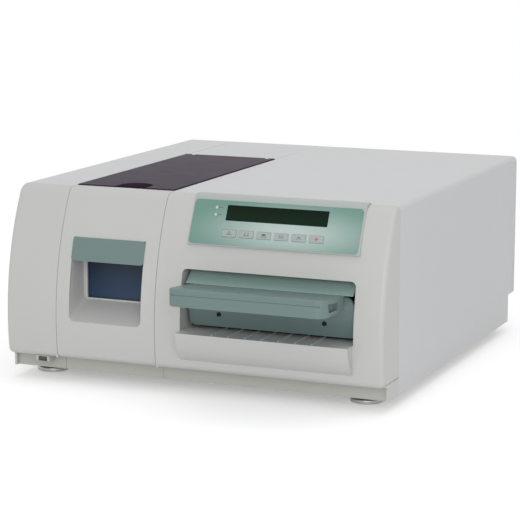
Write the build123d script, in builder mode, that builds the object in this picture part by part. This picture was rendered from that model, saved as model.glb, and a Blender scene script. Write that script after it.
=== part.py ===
from build123d import *
from math import atan, cos, degrees, hypot, radians, sin, sqrt, tan
import os

os.makedirs("parts", exist_ok=True)

# Cassette autoclave: a bench-top steam steriliser with a slide-out cassette.
# Millimetres. X to the right, -Y towards the user, +Z up, z = 0 on the bench.
# The origin is under the middle of the whole object, handle and rear stub included.

# Case
case_width = 550.0
case_depth = 606.0
case_top = 266.0
case_bottom = 15.0
wall = 3.0
side_edge_radius = 6.0
rear_edge_radius = 10.0
front_corner_radius = 7.0
fit_gap = 0.3
fascia_depth = 61.0
bridge_depth = 56.0
bridge_z = (222.0, 240.0)
pan_front = 28.0
pan_sheet = 2.0

# Bowed front: a circle seen from the side
bow_radius = 365.0
bow_centre_z = 85.0
top_round = 19.0
fascia_bottom = 35.5
bottom_round = 9.0

# Rear overhang
step_height = 53.0
step_inset = 37.0

# Cassette slot, ledge and chin
slot_left = -11.0
slot_right = 234.0
slot_floor = 90.0
slot_top = 172.0
slot_radius = 7.0
sleeve_depth = 38.0
sleeve_wall = 2.5
chin_reach = 17.5
chin_bottom = 50.0
chin_swell = 5.0
rib_count = 7
rib_pitch = 23.5
rib_height = 1.4
rib_width = 1.6

# Cassette
cassette_width = 207.0
cassette_back = 420.0
cassette_front = 28.0
tray_bottom = 94.5
split_height = 152.0
lid_top = 169.0
sheet = 1.2
rim_width = 5.0
rim_thickness = 1.5
seal_thickness = 1.5
handle_reach = 68.0
handle_width = 219.0
handle_top = 160.0
handle_bottom = 137.0
handle_wall = 4.0
bar_thickness = 8.0
front_plate_gap = 5.5
cassette_travel = 400.0

# Bottle drawer
drawer_left = -197.0
drawer_right = -48.0
drawer_gap = 0.6
drawer_back_edge = 65.5
drawer_travel = 330.0
recess_left = -177.0
recess_right = -69.0
recess_bottom = 89.0
recess_top = 202.5
recess_depth = 46.0
recess_rise = 23.0
pull_height = 31.0
pull_proud = 1.5
pull_thickness = 9.0

# Reservoir lid
lid_front = 67.3
lid_back = 420.5
lid_side_gap = 1.4
lid_thickness = 3.0
lid_proud = 1.5
scoop_width = 46.0
scoop_length = 40.0
scoop_depth = 8.0
hinge_pin_radius = 1.5
hinge_clearance = 0.05

# Control panel
panel_left = -7.5
panel_right = 235.5
panel_foot_depth = 16.5
panel_foot_z = 204.8
panel_tilt = 25.4
panel_top = 268.2
panel_back = 60.5
panel_round = 8.0
overlay_thickness = 0.5
key_count = 6
key_pitch = 24.6
key_first_x = 50.8
key_size = (19.5, 9.6)
key_height_v = 17.7
key_proud = 0.6
key_travel = 0.5
window_x = (42.0, 185.7)
window_v = (35.0, 56.6)
panel_window_x = (18.0, 200.0)
panel_window_z = (212.0, 259.0)

# Feet
foot_radius = 22.5
foot_height = 7.0
stud_radius = 4.0
stud_length = 28.0
left_foot = (-244.0, 77.0)
right_foot = (226.0, 77.0)
rear_foot_x = 236.0
rear_foot_depth = 530.0
rear_foot_radius = 15.0

# Rear panel and fittings
service_left = -235.0
service_right = 235.0
service_bottom = 72.0
service_top = 240.0
service_sheet = 1.5
stub_radius = 4.0
stub_length = 14.0

rear_reach = stub_length
front = (handle_reach - case_depth - rear_reach) / 2
cassette_x = (slot_left + slot_right) / 2
drawer_x = (drawer_left + drawer_right) / 2


def y_at(depth):
    """Y of a point this far behind the foremost line of the bowed front."""
    return front + depth


def bow_depth(z, inset=0.0):
    """Depth of the bowed front at height z, or of a wall inset behind it."""
    return bow_radius - sqrt((bow_radius - inset) ** 2 - (z - bow_centre_z) ** 2)


def block(x, depth, z, mode=Mode.ADD):
    """A rectangular solid between pairs of limits, with depths from the bowed front."""
    centre = ((x[0] + x[1]) / 2, y_at((depth[0] + depth[1]) / 2), (z[0] + z[1]) / 2)
    with Locations(centre):
        Box(x[1] - x[0], depth[1] - depth[0], z[1] - z[0], mode=mode)


def post(x, depth, z, radius, mode=Mode.ADD):
    """An upright cylinder between two heights."""
    with Locations((x, y_at(depth), (z[0] + z[1]) / 2)):
        Cylinder(radius, z[1] - z[0], mode=mode)


def rod(x, depth, z, radius, length, mode=Mode.ADD, axis="X"):
    """A round rod about a centre, along X or along Y."""
    turn = (0, 90, 0) if axis == "X" else (90, 0, 0)
    with Locations((x, y_at(depth), z)):
        Cylinder(radius, length, rotation=turn, mode=mode)


def bow_face(inset, back, low=fascia_bottom, foot_round=0.0):
    """Side view of the front: the bow, rolled over at the top, back to a depth."""
    with BuildSketch(Plane.YZ) as view:
        with Locations((y_at(bow_radius), bow_centre_z)):
            Circle(bow_radius - inset)
        with Locations((y_at(back), low)):
            room = (bow_radius, case_top - inset - low)
            Rectangle(*room, align=(Align.MAX, Align.MIN), mode=Mode.INTERSECT)
        fillet(view.vertices().group_by(Axis.Y)[-1].sort_by(Axis.X)[0], top_round - max(inset, 0))
        if foot_round:
            fillet(view.vertices().group_by(Axis.Y)[0].sort_by(Axis.X)[0], foot_round)
    return view.sketch


def bow_solid(inset, back, x, low=fascia_bottom, foot_round=0.0):
    """The bowed form between two X limits."""
    with BuildPart(mode=Mode.PRIVATE) as form:
        extrude(bow_face(inset, back, low, foot_round), amount=x[1] - x[0])
    return Pos(x[0], 0, 0) * form.part


def save(part, name):
    """Label a finished piece and write it."""
    part.label = name
    export_step(part, f"parts/{name}.step")


# Front fascia: bowed moulding, 3 mm walls, with the slot sleeve, ledge and chin
half = case_width / 2
inner_x = (-half + wall, half - wall)
cheek_depth = 22.5
lip_back = pan_front - fit_gap
slot_middle = (cassette_x, (slot_floor + slot_top) / 2)
slot_size = (slot_right - slot_left, slot_top - slot_floor)
with BuildPart(mode=Mode.PRIVATE) as slot_sleeve:
    with BuildSketch(Plane.XZ.offset(-y_at(sleeve_depth))):
        with Locations(slot_middle):
            RectangleRounded(slot_size[0] + 2 * sleeve_wall, slot_size[1] + 2 * sleeve_wall, slot_radius)
    extrude(amount=sleeve_depth + chin_reach)
    add(bow_solid(wall / 2, fascia_depth, inner_x), mode=Mode.INTERSECT)
with BuildPart() as front_fascia:
    add(bow_solid(0, fascia_depth, (-half, half), foot_round=bottom_round))
    arcs = front_fascia.edges().filter_by(GeomType.CIRCLE)
    fillet(arcs.filter_by(lambda edge: edge.radius > bow_radius / 2), front_corner_radius)
    # cheeks: the side returns reach down beside the base pan, with a hollow corner in front
    for side in (-1, 1):
        with BuildSketch(Plane.YZ.offset(side * half)) as cheek:
            with BuildLine():
                Polyline(
                    (y_at(fascia_depth), case_bottom),
                    (y_at(cheek_depth), case_bottom),
                    (y_at(cheek_depth), fascia_bottom),
                    (y_at(cheek_depth - 8), fascia_bottom),
                    (y_at(cheek_depth - 8), fascia_bottom + wall),
                    (y_at(fascia_depth), fascia_bottom + wall),
                    close=True,
                )
            make_face()
            hollow = (y_at(cheek_depth), fascia_bottom)
            fillet(cheek.vertices().sort_by_distance(hollow)[0], 7)
        extrude(amount=-side * wall)
    lip_top = fascia_bottom + wall
    add(bow_solid(wall, fascia_depth + 1, inner_x, lip_top), mode=Mode.SUBTRACT)
    block(inner_x, (lip_back, fascia_depth + 1), (case_bottom, lip_top + 1), Mode.SUBTRACT)

    # opening for the bottle drawer, right over the top edge
    drawer_x_limits = (drawer_left, drawer_right)
    block(drawer_x_limits, (-5, 12), (0, case_top + 1), Mode.SUBTRACT)
    block(drawer_x_limits, (-5, fascia_depth + 1), (lip_top, case_top + 1), Mode.SUBTRACT)
    # walls beside the drawer, and a bridge behind its front that joins the two halves
    add(bow_solid(wall / 2, fascia_depth, (drawer_left - wall, drawer_left)))
    add(bow_solid(wall / 2, fascia_depth, (drawer_right, drawer_right + wall)))
    block((drawer_left - wall, drawer_right + wall), (bridge_depth, fascia_depth), bridge_z)

    # chin: the ledge carried forward, swelling back into the bow below
    with BuildSketch(Plane.YZ.offset(slot_left + 1)) as chin_view:
        with BuildLine():
            lip = (y_at(-chin_reach), slot_floor - 2)
            low = (y_at(bow_depth(chin_bottom) + 0.5), chin_bottom)
            back_line = y_at(bow_depth(slot_floor) + wall)
            Polyline(low, (back_line, chin_bottom), (back_line, slot_floor), (y_at(-chin_reach), slot_floor), lip)
            middle = (y_at(-chin_reach / 2 - chin_swell), (slot_floor + chin_bottom) / 2)
            ThreePointArc(lip, middle, low)
        make_face()
    extrude(amount=slot_right - slot_left - 2)

    # slot with its inward sleeve
    add(slot_sleeve.part)
    with BuildSketch(Plane.XZ.offset(-y_at(sleeve_depth + 1))):
        with Locations(slot_middle):
            RectangleRounded(*slot_size, slot_radius)
        with Locations((cassette_x, slot_floor)):
            Rectangle(slot_size[0], slot_radius * 2, align=(Align.CENTER, Align.MIN))
    extrude(amount=sleeve_depth + chin_reach + 5, mode=Mode.SUBTRACT)

    # ledge ribs
    for step in range(rib_count):
        rib_x = cassette_x + (step - (rib_count - 1) / 2) * rib_pitch
        rib_limits = (rib_x - rib_width / 2, rib_x + rib_width / 2)
        block(rib_limits, (-chin_reach + 5, sleeve_depth), (slot_floor, slot_floor + rib_height))
    # window behind the control panel
    block(panel_window_x, (10, fascia_depth + 1), panel_window_z, Mode.SUBTRACT)
save(front_fascia.part, "front_fascia")

# Base pan: folded sheet tray that carries everything inside
pan_x = half - wall - fit_gap
pan_back = case_depth - step_inset - wall
pan_wall_top = step_height - fit_gap
feet = (left_foot, right_foot)
with BuildPart() as base_pan:
    block((-pan_x, pan_x), (pan_front, pan_back), (case_bottom, pan_wall_top))
    hollow_x = (-pan_x + pan_sheet, pan_x - pan_sheet)
    hollow_z = (case_bottom + pan_sheet, pan_wall_top + 1)
    block(hollow_x, (pan_front + pan_sheet, pan_back - pan_sheet), hollow_z, Mode.SUBTRACT)
    pan_front_top = fascia_bottom - fit_gap
    block((-pan_x - 1, pan_x + 1), (0, fascia_depth), (pan_front_top, pan_wall_top + 1), Mode.SUBTRACT)
    # two fine joints under the sides of the drawer
    for joint_x in (drawer_left, drawer_right):
        block((joint_x - 0.5, joint_x + 0.5), (pan_front - 1, pan_front + 0.7), (0, pan_front_top), Mode.SUBTRACT)
    # threaded bosses for the levelling feet
    for foot_x, foot_depth in feet:
        post(foot_x, foot_depth, (case_bottom, case_bottom + 16), 9)
        post(foot_x, foot_depth, (case_bottom - 1, case_bottom + 17), stud_radius + hinge_clearance, Mode.SUBTRACT)
    # air slots in the floor
    for step in range(6):
        slot_x = 60 + step * 24
        block((slot_x, slot_x + 6), (300, 420), (case_bottom - 1, case_bottom + pan_sheet + 1), Mode.SUBTRACT)
save(base_pan.part, "base_pan")

# Case cover: top and both sides in one shell, stepped in at the lower rear
cover_front = fascia_depth + fit_gap
opening_x = (drawer_left, drawer_right)
rear_panel_back = case_depth - rear_edge_radius - 0.5
lid_panel_gap = 1.5
with BuildPart() as case_cover:
    with BuildSketch(Plane.YZ.offset(-half)) as side_view:
        with BuildLine():
            Polyline(
                (y_at(cover_front), case_bottom),
                (y_at(case_depth - step_inset), case_bottom),
                (y_at(case_depth - step_inset), step_height),
                (y_at(case_depth), step_height),
                (y_at(case_depth), case_top),
                (y_at(cover_front), case_top),
                close=True,
            )
        make_face()
        fillet(side_view.vertices().sort_by_distance((y_at(case_depth), case_top))[0], rear_edge_radius)
        fillet(side_view.vertices().sort_by_distance((y_at(case_depth), step_height))[0], 3)
    extrude(amount=case_width)
    top_edges = case_cover.edges().filter_by(Axis.Y).group_by(Axis.Z)[-1]
    fillet(top_edges, front_corner_radius)
    inner_top = case_top - wall
    block(inner_x, (0, pan_back), (case_bottom - 1, inner_top), Mode.SUBTRACT)
    block(inner_x, (pan_back - 1, case_depth - wall), (step_height + wall, inner_top), Mode.SUBTRACT)
    block(inner_x, (pan_back - 1, case_depth - step_inset + 1), (case_bottom - 1, step_height), Mode.SUBTRACT)
    block(opening_x, (0, rear_panel_back + 0.5), (inner_top - 1, case_top + 1), Mode.SUBTRACT)
    # ledges under the rear top panel
    for edge, inward in ((opening_x[0], 1), (opening_x[1], -1)):
        limits = sorted((edge - inward * 6, edge + inward * 3))
        block(limits, (lid_back + 12, case_depth - wall), (inner_top - wall, inner_top))
    # opening for the service panel
    block((service_left, service_right), (case_depth - wall - 1, case_depth + 1), (service_bottom, service_top), Mode.SUBTRACT)
save(case_cover.part, "case_cover")

# Rear top panel behind the lid
with BuildPart() as rear_top_panel:
    panel_x = (opening_x[0] + 0.5, opening_x[1] - 0.5)
    block(panel_x, (lid_back + lid_panel_gap, rear_panel_back), (inner_top, case_top))
    chamfer(rear_top_panel.edges().filter_by(Axis.Y).group_by(Axis.Z)[-1], 0.8)
save(rear_top_panel.part, "rear_top_panel")

# Reservoir: moulded tank with a filler well, hung under the top by its flange
lid_top_z = case_top + lid_proud
lid_under = lid_top_z - lid_thickness
scoop_x = -115.0
tank_x = (-190.0, -54.0)
tank_depth = (74.0, 412.0)
tank_z = (206.0, 258.5)
tank_wall = 2.5
well_depth = (82.0, 236.0)
well_floor = 236.0
neck = (-122.0, 160.0)
neck_radius = 20.0
neck_top = 246.0
flange_top = tank_z[1] + 2
axis_depth = lid_back - lid_thickness
axis_z = case_top + lid_proud - lid_thickness
lug_x = (-182.0, -61.0)
lug_width = 6.0
lug_gap = 0.5
with BuildPart() as reservoir_tank:
    block(tank_x, tank_depth, tank_z)
    fillet(reservoir_tank.edges().filter_by(Axis.Z), 10)
    block((-203, -41), (63.5, lid_back + 8), (tank_z[1], flange_top))
    block((-203, -200.2), (63.5, lid_back + 8), (flange_top, inner_top))
    block((-43.8, -41), (63.5, lid_back + 8), (flange_top, inner_top))
    low = (tank_z[0] + tank_wall, well_floor - tank_wall)
    inner_tank_x = (tank_x[0] + tank_wall, tank_x[1] - tank_wall)
    block(inner_tank_x, (tank_depth[0] + 12, tank_depth[1] - 12), low, Mode.SUBTRACT)
    high = (well_floor - tank_wall - 1, tank_z[1] - 1)
    block(inner_tank_x, (well_depth[1] + 3, tank_depth[1] - 12), high, Mode.SUBTRACT)
    block((tank_x[0] + 8, tank_x[1] - 8), well_depth, (well_floor, flange_top + 1), Mode.SUBTRACT)
    scoop_room = (scoop_x - scoop_width / 2 - 5, scoop_x + scoop_width / 2 + 5)
    block(scoop_room, (60, well_depth[0] + 1), (lid_under - scoop_depth - 1, flange_top + 1), Mode.SUBTRACT)
    post(*neck, (well_floor, neck_top), neck_radius)
    post(*neck, (tank_z[0] + 8, neck_top + 1), neck_radius - 3, Mode.SUBTRACT)
    post(*neck, (neck_top - 1.5, neck_top + 1), neck_radius - 1.5, Mode.SUBTRACT)
    for lug in lug_x:
        limits = (lug - lug_width / 2, lug + lug_width / 2)
        block(limits, (axis_depth - lid_thickness, axis_depth + lid_thickness), (flange_top, axis_z))
        rod(lug, axis_depth, axis_z, lid_thickness, lug_width)
        rod(lug, axis_depth, axis_z, hinge_pin_radius, lug_width + 1, Mode.SUBTRACT)
save(reservoir_tank.part, "reservoir_tank")

with BuildPart() as filler_strainer:
    post(*neck, (tank_z[0] + 12, neck_top), neck_radius - 3.3)
    post(*neck, (neck_top - 1.5, neck_top), neck_radius - 1.6)
    post(*neck, (tank_z[0] + 13, neck_top + 1), neck_radius - 4.5, Mode.SUBTRACT)
    with Locations((neck[0], y_at(neck[1]), tank_z[0] + 24)):
        with PolarLocations(neck_radius - 4, 8):
            Box(6, 3, 14, mode=Mode.SUBTRACT)
save(filler_strainer.part, "filler_strainer")

cap_wall = 3.0
cap_grips = 20
with BuildPart() as filler_cap:
    cap_top = neck_top + fit_gap + cap_wall
    post(*neck, (neck_top - 7, cap_top), neck_radius + cap_wall + 0.4)
    chamfer(filler_cap.edges().group_by(Axis.Z)[-1], 1)
    post(*neck, (neck_top - 8, neck_top + fit_gap), neck_radius + fit_gap, Mode.SUBTRACT)
    block((neck[0] - 14, neck[0] + 14), (neck[1] - 2, neck[1] + 2), (cap_top, cap_top + 4))
    with Locations((neck[0], y_at(neck[1]), neck_top - 2)):
        with PolarLocations(neck_radius + cap_wall + 0.9, cap_grips):
            Box(1.6, 2.4, 8, mode=Mode.SUBTRACT)
save(filler_cap.part, "filler_cap")

# Smoked reservoir lid: plate with a rolled rear edge, a skirt and a finger scoop
lid_x = (opening_x[0] + lid_side_gap, opening_x[1] - lid_side_gap)
skirt = 2.0
skirt_foot = flange_top + fit_gap
with BuildPart() as reservoir_lid:
    block(lid_x, (lid_front, axis_depth), (lid_under, lid_top_z))
    chamfer(reservoir_lid.edges().group_by(Axis.Z)[-1].filter_by(Axis.Y), 1)
    rod((lid_x[0] + lid_x[1]) / 2, axis_depth, axis_z, lid_thickness, lid_x[1] - lid_x[0])
    skirt_depth = (lid_front, axis_depth - 12)
    block((lid_x[0], lid_x[0] + skirt), skirt_depth, (skirt_foot, lid_under))
    block((lid_x[1] - skirt, lid_x[1]), skirt_depth, (skirt_foot, lid_under))
    block(lid_x, (lid_front, lid_front + skirt), (skirt_foot, lid_under))
    # scoop: a rounded dish let into the front edge
    for grow, low, high, mode in ((2, -2, 0, Mode.ADD), (0, 0, scoop_depth + 1, Mode.SUBTRACT)):
        floor = lid_top_z - scoop_depth
        radius = scoop_width / 2 + grow
        top = lid_under if mode == Mode.ADD else lid_top_z + 1
        reach = lid_front + scoop_length - scoop_width / 2
        post(scoop_x, reach, (floor + low, top), radius, mode)
        block((scoop_x - radius, scoop_x + radius), (lid_front - (1 - grow / 2), reach), (floor + low, top), mode)
    block(lid_x, (lid_front - 20, lid_front), (flange_top - 10, lid_top_z + 1), Mode.SUBTRACT)
    for lug in lug_x:
        limits = (lug - lug_width / 2 - lug_gap, lug + lug_width / 2 + lug_gap)
        block(limits, (axis_depth - 6, axis_depth + 4), (lid_under - 6, lid_top_z + 1), Mode.SUBTRACT)
        rod(lug, axis_depth, axis_z, hinge_pin_radius + hinge_clearance, 24, Mode.SUBTRACT)
save(reservoir_lid.part, "reservoir_lid")

with BuildPart() as lid_hinge_pins:
    for lug in lug_x:
        rod(lug, axis_depth, axis_z, hinge_pin_radius, 20)
save(lid_hinge_pins.part, "lid_hinge_pins")

# Drawer front: full-height panel, rolled over the top edge, with the scooped recess
drawer_x_pair = (drawer_left + drawer_gap, drawer_right - drawer_gap)
drawer_low = fascia_bottom + drawer_gap
drawer_wall_back = 50.0
recess_x = (recess_left, recess_right)
sleeve = 2.5
with BuildPart(mode=Mode.PRIVATE) as recess_cut:
    with BuildSketch(Plane.YZ.offset(recess_left)) as recess_view:
        with BuildLine():
            Polyline(
                (y_at(-4), recess_bottom - 2),
                (y_at(recess_depth), recess_bottom + recess_rise),
                (y_at(recess_depth), recess_top),
                (y_at(-4), recess_top),
                close=True,
            )
        make_face()
    extrude(amount=recess_right - recess_left)
    floor_edges = recess_cut.faces().sort_by(Axis.Z)[0].edges()
    fillet(floor_edges.filter_by(lambda edge: abs(edge.tangent_at(0.5).X) < 0.5), 8)
with BuildPart() as drawer_front:
    add(bow_solid(0, drawer_back_edge, drawer_x_pair, drawer_low, bottom_round))
    side_room = (drawer_x_pair[0] + sleeve, drawer_x_pair[1] - sleeve)
    add(bow_solid(wall, drawer_back_edge + 1, side_room, drawer_low + wall), mode=Mode.SUBTRACT)
    block((drawer_left, drawer_right), (drawer_wall_back, 80), (0, case_top - wall), Mode.SUBTRACT)
    block((drawer_left, drawer_right), (11.5, 80), (0, lip_top + 1), Mode.SUBTRACT)
    with BuildSketch(Plane.YZ.offset(recess_left - sleeve)):
        with BuildLine():
            Polyline(
                (y_at(bow_depth(recess_bottom) + 1.5), recess_bottom - sleeve - 1),
                (y_at(recess_depth + sleeve), recess_bottom + recess_rise - sleeve),
                (y_at(recess_depth + sleeve), recess_top + sleeve),
                (y_at(bow_depth(recess_top) + 1.5), recess_top + sleeve),
                close=True,
            )
        make_face()
    extrude(amount=recess_right - recess_left + 2 * sleeve)
    add(recess_cut.part, mode=Mode.SUBTRACT)
    # window at the back of the recess, in front of the bottle
    window_limits = (recess_left + 5, recess_right - 5)
    window_z = (recess_bottom + recess_rise + 2, recess_top - 4)
    block(window_limits, (recess_depth - 1, recess_depth + sleeve + 1), window_z, Mode.SUBTRACT)
save(drawer_front.part, "drawer_front")

# Drawer pull: a bowed grip bar across the top of the recess
with BuildPart() as drawer_pull:
    add(bow_solid(-pull_proud, fascia_depth, recess_x))
    block(recess_x, (drawer_wall_back, 80), (0, case_top + 2), Mode.SUBTRACT)
    block(recess_x, (-20, 80), (0, recess_top - pull_height), Mode.SUBTRACT)
    block(recess_x, (-20, 80), (recess_top, 300), Mode.SUBTRACT)
    fillet(drawer_pull.edges().filter_by(Axis.Y), 4)
    add(bow_solid(pull_thickness - pull_proud, fascia_depth, recess_x), mode=Mode.SUBTRACT)
save(drawer_pull.part, "drawer_pull")

# Drawer carrier: open tray behind the front, on two runners
runner_top = 39.7
carrier_floor = runner_top + fit_gap
carrier_depth = (6.2, 400.0)
carrier_x = (drawer_x_pair[0] + sleeve + fit_gap, drawer_x_pair[1] - sleeve - fit_gap)
carrier_wall = 2.5
with BuildPart() as drawer_carrier:
    block(carrier_x, carrier_depth, (carrier_floor, 84))
    inside_x = (carrier_x[0] + carrier_wall, carrier_x[1] - carrier_wall)
    inside_depth = (carrier_depth[0] + carrier_wall, carrier_depth[1] - carrier_wall)
    block(inside_x, inside_depth, (carrier_floor + carrier_wall, 90), Mode.SUBTRACT)
save(drawer_carrier.part, "drawer_carrier")

runner_x = (-180.0, -65.0)
with BuildPart() as drawer_runners:
    for x in runner_x:
        block((x - 5, x + 5), (pan_front + pan_sheet, 540), (case_bottom + pan_sheet, runner_top))
        block((x - 3, x + 3), (pan_front, 541), (case_bottom + 6, runner_top - 4), Mode.SUBTRACT)
save(drawer_runners.part, "drawer_runners")

# Waste bottle: translucent, hollow, with a screw neck
bottle_x = (inside_x[0] + 1, inside_x[1] - 1)
bottle_depth = (drawer_wall_back + 0.5, inside_depth[1] - 1)
bottle_z = (carrier_floor + carrier_wall, 180.0)
bottle_wall = 2.0
bottle_neck = (drawer_x, 110.0)
bottle_neck_radius = 16.0
with BuildPart() as waste_bottle:
    block(bottle_x, bottle_depth, bottle_z)
    fillet(waste_bottle.edges().filter_by(Axis.Z), 12)
    fillet(waste_bottle.edges().group_by(Axis.Z)[-1], 8)
    post(*bottle_neck, (bottle_z[1] - 1, bottle_z[1] + 12), bottle_neck_radius)
    inner_bottle_x = (bottle_x[0] + bottle_wall, bottle_x[1] - bottle_wall)
    inner_bottle_depth = (bottle_depth[0] + bottle_wall, bottle_depth[1] - bottle_wall)
    inner_bottle_z = (bottle_z[0] + bottle_wall, bottle_z[1] - bottle_wall)
    with BuildPart(mode=Mode.PRIVATE) as water_room:
        block(inner_bottle_x, inner_bottle_depth, inner_bottle_z)
        fillet(water_room.edges().filter_by(Axis.Z), 10)
        fillet(water_room.edges().group_by(Axis.Z)[-1], 6)
    add(water_room.part, mode=Mode.SUBTRACT)
    post(*bottle_neck, (bottle_z[1] - 4, bottle_z[1] + 13), bottle_neck_radius - 2.5, Mode.SUBTRACT)
save(waste_bottle.part, "waste_bottle")

with BuildPart() as bottle_cap:
    rim = bottle_z[1] + 12
    post(*bottle_neck, (bottle_z[1] + 1, rim + fit_gap + cap_wall), bottle_neck_radius + cap_wall)
    post(*bottle_neck, (bottle_z[1], rim + fit_gap), bottle_neck_radius + fit_gap, Mode.SUBTRACT)
    with Locations((bottle_neck[0], y_at(bottle_neck[1]), bottle_z[1] + 8)):
        with PolarLocations(bottle_neck_radius + cap_wall + 0.5, 16):
            Box(1.6, 2.4, 9, mode=Mode.SUBTRACT)
save(bottle_cap.part, "bottle_cap")

# Control panel: raised bezel that wraps over the top edge, tilted plane for everything on it
panel_cos = cos(radians(panel_tilt))
panel_sin = sin(radians(panel_tilt))


def panel_plane(lift=0.0):
    """Plane of the panel face or one lifted off it: local X to the right, local Y up the panel."""
    origin = (0, y_at(panel_foot_depth) - lift * panel_cos, panel_foot_z + lift * panel_sin)
    return Plane(origin=origin, x_dir=(1, 0, 0), z_dir=(0, -panel_cos, panel_sin))


def panel_block(x, v, lift, corner, mode=Mode.ADD):
    """A round-cornered pad on the panel between two lifts."""
    with BuildSketch(panel_plane(lift[0])) as view:
        with Locations(((x[0] + x[1]) / 2, (v[0] + v[1]) / 2)):
            RectangleRounded(x[1] - x[0], v[1] - v[0], corner)
    extrude(view.sketch, amount=lift[1] - lift[0], mode=mode)


def panel_rod(x, v, lift, radius, mode=Mode.ADD):
    """A round stem square to the panel between two lifts."""
    with BuildSketch(panel_plane(lift[0])) as view:
        with Locations((x, v)):
            Circle(radius)
    extrude(view.sketch, amount=lift[1] - lift[0], mode=mode)


def grown(limits, amount):
    """A pair of limits moved apart by the same amount at each end."""
    return (limits[0] - amount, limits[1] + amount)


keys_v = (key_height_v - key_size[1] / 2, key_height_v + key_size[1] / 2)
key_centres = [key_first_x + step * key_pitch for step in range(key_count)]
light_x = 27.0
lights_v = (42.3, 52.3)
light_radius = 2.0
module_x = grown(window_x, 3)
module_v = (32.0, 59.0)
module_lift = (-7.9, -2.3)
board_lift = (-9.6, -8.0)
board_x = (20.5, 198.0)
board_v = (9.5, 59.5)
board_posts = ((34.0, 14.0), (195.0, 14.0), (34.0, 57.0), (195.0, 57.0))
with BuildPart() as control_bezel:
    with BuildSketch(Plane.YZ.offset(panel_left)) as pad_view:
        with BuildLine():
            rise = panel_top - panel_foot_z
            crest = (y_at(panel_foot_depth + rise * panel_sin / panel_cos), panel_top)
            Polyline(
                (y_at(panel_foot_depth), panel_foot_z),
                crest,
                (y_at(panel_back), panel_top),
                (y_at(panel_back), case_top - 4),
                (y_at(panel_foot_depth + 14), panel_foot_z),
                close=True,
            )
        make_face()
        fillet(pad_view.vertices().sort_by_distance(crest)[0], panel_round)
        fillet(pad_view.vertices().sort_by_distance((y_at(panel_back), panel_top))[0], 1.5)
    extrude(amount=panel_right - panel_left)
    outline = control_bezel.edges().filter_by(lambda edge: abs(edge.tangent_at(0.5).X) < 0.01)
    over_top = outline.filter_by(lambda edge: edge.center().Z > panel_top - 3)
    up_front = outline.filter_by(
        lambda edge: edge.center().Y < y_at(panel_foot_depth + 20) and edge.center().Z > panel_foot_z + 1
    )
    fillet(over_top + up_front, 1.4)
    add(bow_solid(0, fascia_depth + 4, (panel_left - 1, panel_right + 1)), mode=Mode.SUBTRACT)
    panel_block(window_x, window_v, (-9, 2), 1.5, Mode.SUBTRACT)
    panel_block(grown(module_x, fit_gap), grown(module_v, fit_gap), (-12, module_lift[1] + fit_gap), 1, Mode.SUBTRACT)
    for x in key_centres:
        panel_block(grown((x - key_size[0] / 2, x + key_size[0] / 2), fit_gap), grown(keys_v, fit_gap), (-9, 2), 1.5, Mode.SUBTRACT)
    for v in lights_v:
        panel_rod(light_x, v, (-9, 2), light_radius + fit_gap, Mode.SUBTRACT)
    for x, v in board_posts:
        panel_rod(x, v, (board_lift[1], -1), 2.5)
save(control_bezel.part, "control_bezel")

overlay_x = (-5.6, 232.5)
overlay_v = (1.5, 62.5)
with BuildPart() as keypad_overlay:
    panel_block(overlay_x, overlay_v, (0, overlay_thickness), 5)
    panel_block(window_x, window_v, (-1, 2), 1.5, Mode.SUBTRACT)
    for x in key_centres:
        panel_block(grown((x - key_size[0] / 2, x + key_size[0] / 2), fit_gap), grown(keys_v, fit_gap), (-1, 2), 1.5, Mode.SUBTRACT)
    for v in lights_v:
        panel_rod(light_x, v, (-1, 2), light_radius + fit_gap, Mode.SUBTRACT)
save(keypad_overlay.part, "keypad_overlay")

with BuildPart() as display_window:
    panel_block(grown(window_x, -fit_gap), grown(window_v, -fit_gap), (-1, 0.3), 1.5)
save(display_window.part, "display_window")

with BuildPart() as display_module:
    panel_block(module_x, module_v, module_lift, 1)
    panel_block(grown(window_x, -2), grown(window_v, -2), (module_lift[1] - 1, module_lift[1] + 1), 0.5, Mode.SUBTRACT)
save(display_module.part, "display_module")

switch_lift = -7.1
with BuildPart() as key_board:
    panel_block(board_x, board_v, board_lift, 1)
    for x in key_centres:
        panel_block((x - 3, x + 3), (key_height_v - 3, key_height_v + 3), (board_lift[1], switch_lift), 0.5)
save(key_board.part, "key_board")

with BuildPart() as status_lights:
    for v in lights_v:
        panel_rod(light_x, v, (board_lift[1], overlay_thickness + 0.3), light_radius)
save(status_lights.part, "status_lights")

for index, x in enumerate(key_centres):
    with BuildPart() as key:
        cap_x = (x - key_size[0] / 2, x + key_size[0] / 2)
        panel_block(cap_x, keys_v, (-3.5, overlay_thickness + key_proud), 1.5)
        fillet(key.faces().sort_by(Axis.Y)[0].edges(), 0.4)
        panel_block(grown(cap_x, 1), grown(keys_v, 1), (-4, -3), 1.5)
        panel_rod(x, key_height_v, (-6.2, -3.5), 2)
    save(key.part, f"key_{index + 1}")

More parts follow.
